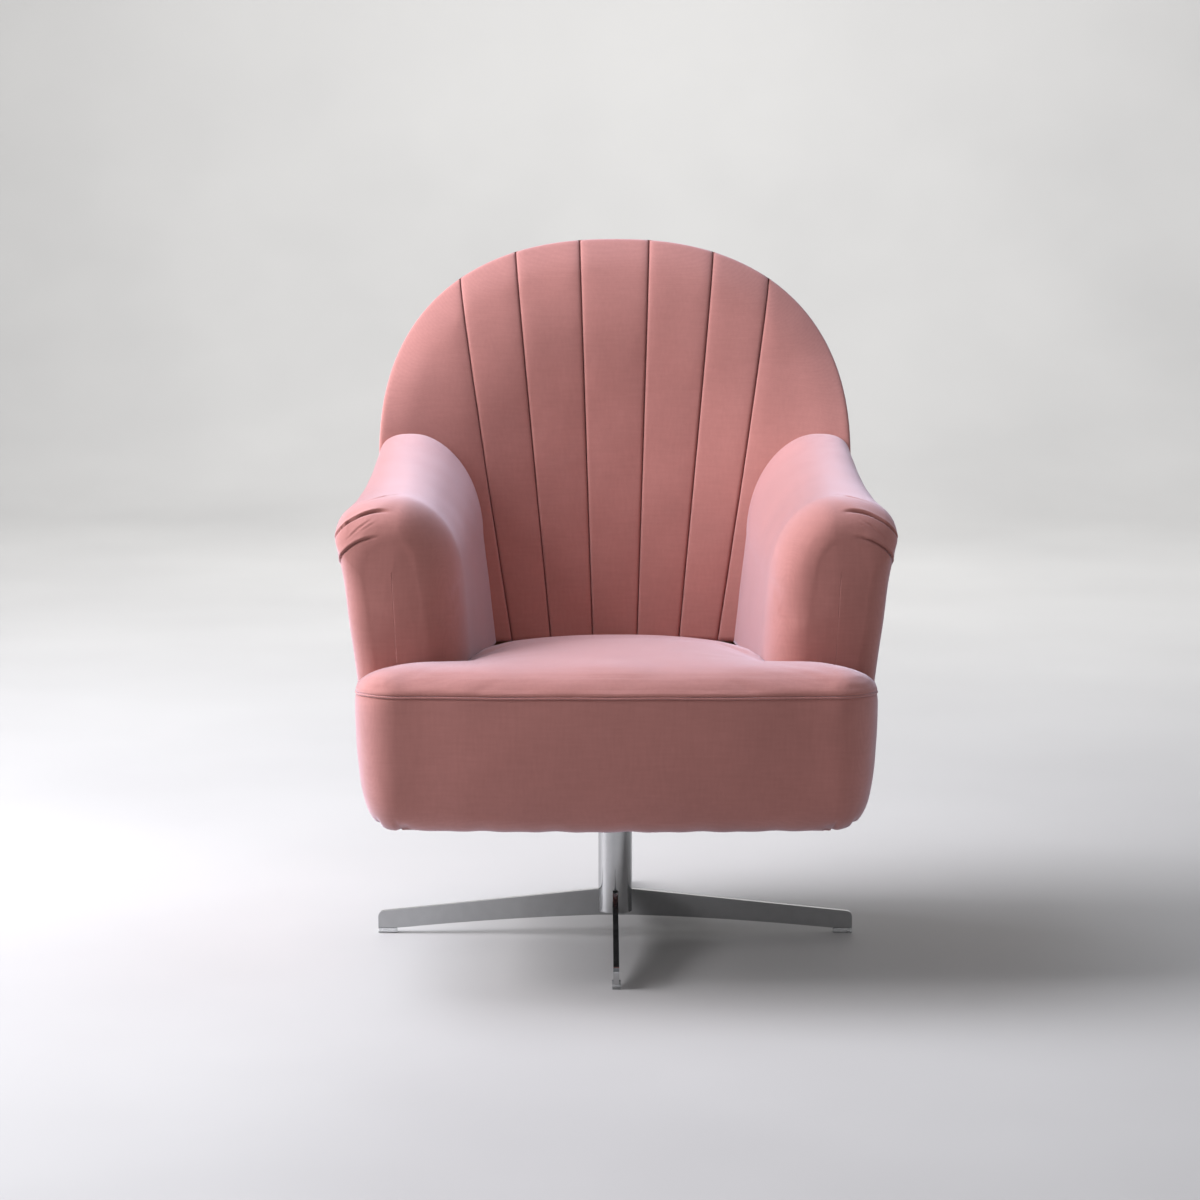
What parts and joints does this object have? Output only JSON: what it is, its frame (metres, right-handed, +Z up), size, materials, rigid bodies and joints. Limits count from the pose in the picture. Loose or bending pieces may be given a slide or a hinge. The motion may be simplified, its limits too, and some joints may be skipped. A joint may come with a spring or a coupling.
{
  "type": "glider nursery chair",
  "caption": "Upholstered tub armchair with a channelled back and padded arms, gliding on swing links hidden in its seat box and swivelling on a chromed column over crossed blades.",
  "frame": {"origin": "on the floor, under the middle of the column", "axes": "+Z up; -Y is the chair's front, the way a sitter faces; +X is on the right of a viewer who faces the chair's front"},
  "size_m": [0.779, 0.81, 1.0115],
  "materials": {
    "rose_fabric": "dusty-rose plain weave over foam",
    "chrome": "polished chrome plate",
    "clear_glide": "clear moulded plastic",
    "nylon": "natural nylon",
    "dark_steel": "black powder-coated steel",
    "zinc": "bright zinc plate",
    "beech": "planed beech",
    "plywood": "bent plywood",
    "webbing": "elastic webbing",
    "black_cloth": "black non-woven dust cloth"
  },
  "bodies": {
    "base": {"base_blade_side": "chrome", "base_blade_front": "chrome", "column_tube": "chrome", "foot_pad_right": "clear_glide", "foot_pad_rear": "clear_glide", "foot_pad_left": "clear_glide", "foot_pad_front": "clear_glide", "upper_bush": "nylon", "lower_bush": "nylon"},
    "swivel": {"spindle": "dark_steel", "retaining_washer": "zinc", "retaining_screw": "zinc", "top_plate": "dark_steel", "hanger_right": "dark_steel", "hanger_left": "dark_steel", "upper_rod_front": "zinc", "upper_rod_rear": "zinc"},
    "front_links": {"front_link_right": "dark_steel", "front_link_left": "dark_steel", "lower_rod_front": "zinc"},
    "rear_links": {"rear_link_right": "dark_steel", "rear_link_left": "dark_steel", "lower_rod_rear": "zinc"},
    "seat": {"glide_rail_right": "dark_steel", "glide_rail_left": "dark_steel", "rail_bolt_front_right": "zinc", "rail_bolt_front_left": "zinc", "rail_bolt_rear_right": "zinc", "rail_bolt_rear_left": "zinc", "seat_rail_front": "beech", "seat_rail_rear": "beech", "seat_rail_right": "beech", "seat_rail_left": "beech", "webbing_strap_1": "webbing", "webbing_strap_2": "webbing", "webbing_strap_3": "webbing", "webbing_strap_4": "webbing", "webbing_strap_5": "webbing", "seat_pad": "rose_fabric", "front_border": "rose_fabric", "rear_border": "rose_fabric", "side_border_right": "rose_fabric", "side_border_left": "rose_fabric", "dust_cover": "black_cloth", "back_shell": "plywood", "back_channel_1": "rose_fabric", "back_channel_2": "rose_fabric", "back_channel_3": "rose_fabric", "back_channel_4": "rose_fabric", "back_channel_5": "rose_fabric", "back_wing_right": "rose_fabric", "back_wing_left": "rose_fabric", "outer_back_cover": "rose_fabric", "arm_pad_right": "rose_fabric", "arm_pad_left": "rose_fabric", "arm_frame_right": "plywood", "arm_frame_left": "plywood", "side_cover_right": "rose_fabric", "side_cover_left": "rose_fabric"}
  },
  "joints": [
    {"name": "swivel", "type": "hinge", "parent": "base", "child": "swivel", "pos_m": [0, 0, 0.25], "axis": [0, 0, 1], "continuous": true},
    {"name": "glide", "type": "hinge", "parent": "swivel", "child": "rear_links", "pos_m": [0, 0.095, 0.347], "axis": [1, 0, 0], "range_deg": [-33, 33]},
    {"name": "seat_level", "type": "hinge", "parent": "rear_links", "child": "seat", "pos_m": [0, 0.095, 0.276], "axis": [1, 0, 0], "range_deg": [-33, 33]},
    {"name": "front_swing", "type": "hinge", "parent": "swivel", "child": "front_links", "pos_m": [0, -0.095, 0.347], "axis": [1, 0, 0], "range_deg": [-33, 33]}
  ],
  "couplings": [
    {"joint": "seat_level", "follows": "glide", "ratio": -1},
    {"joint": "front_swing", "follows": "glide", "ratio": 1}
  ]
}
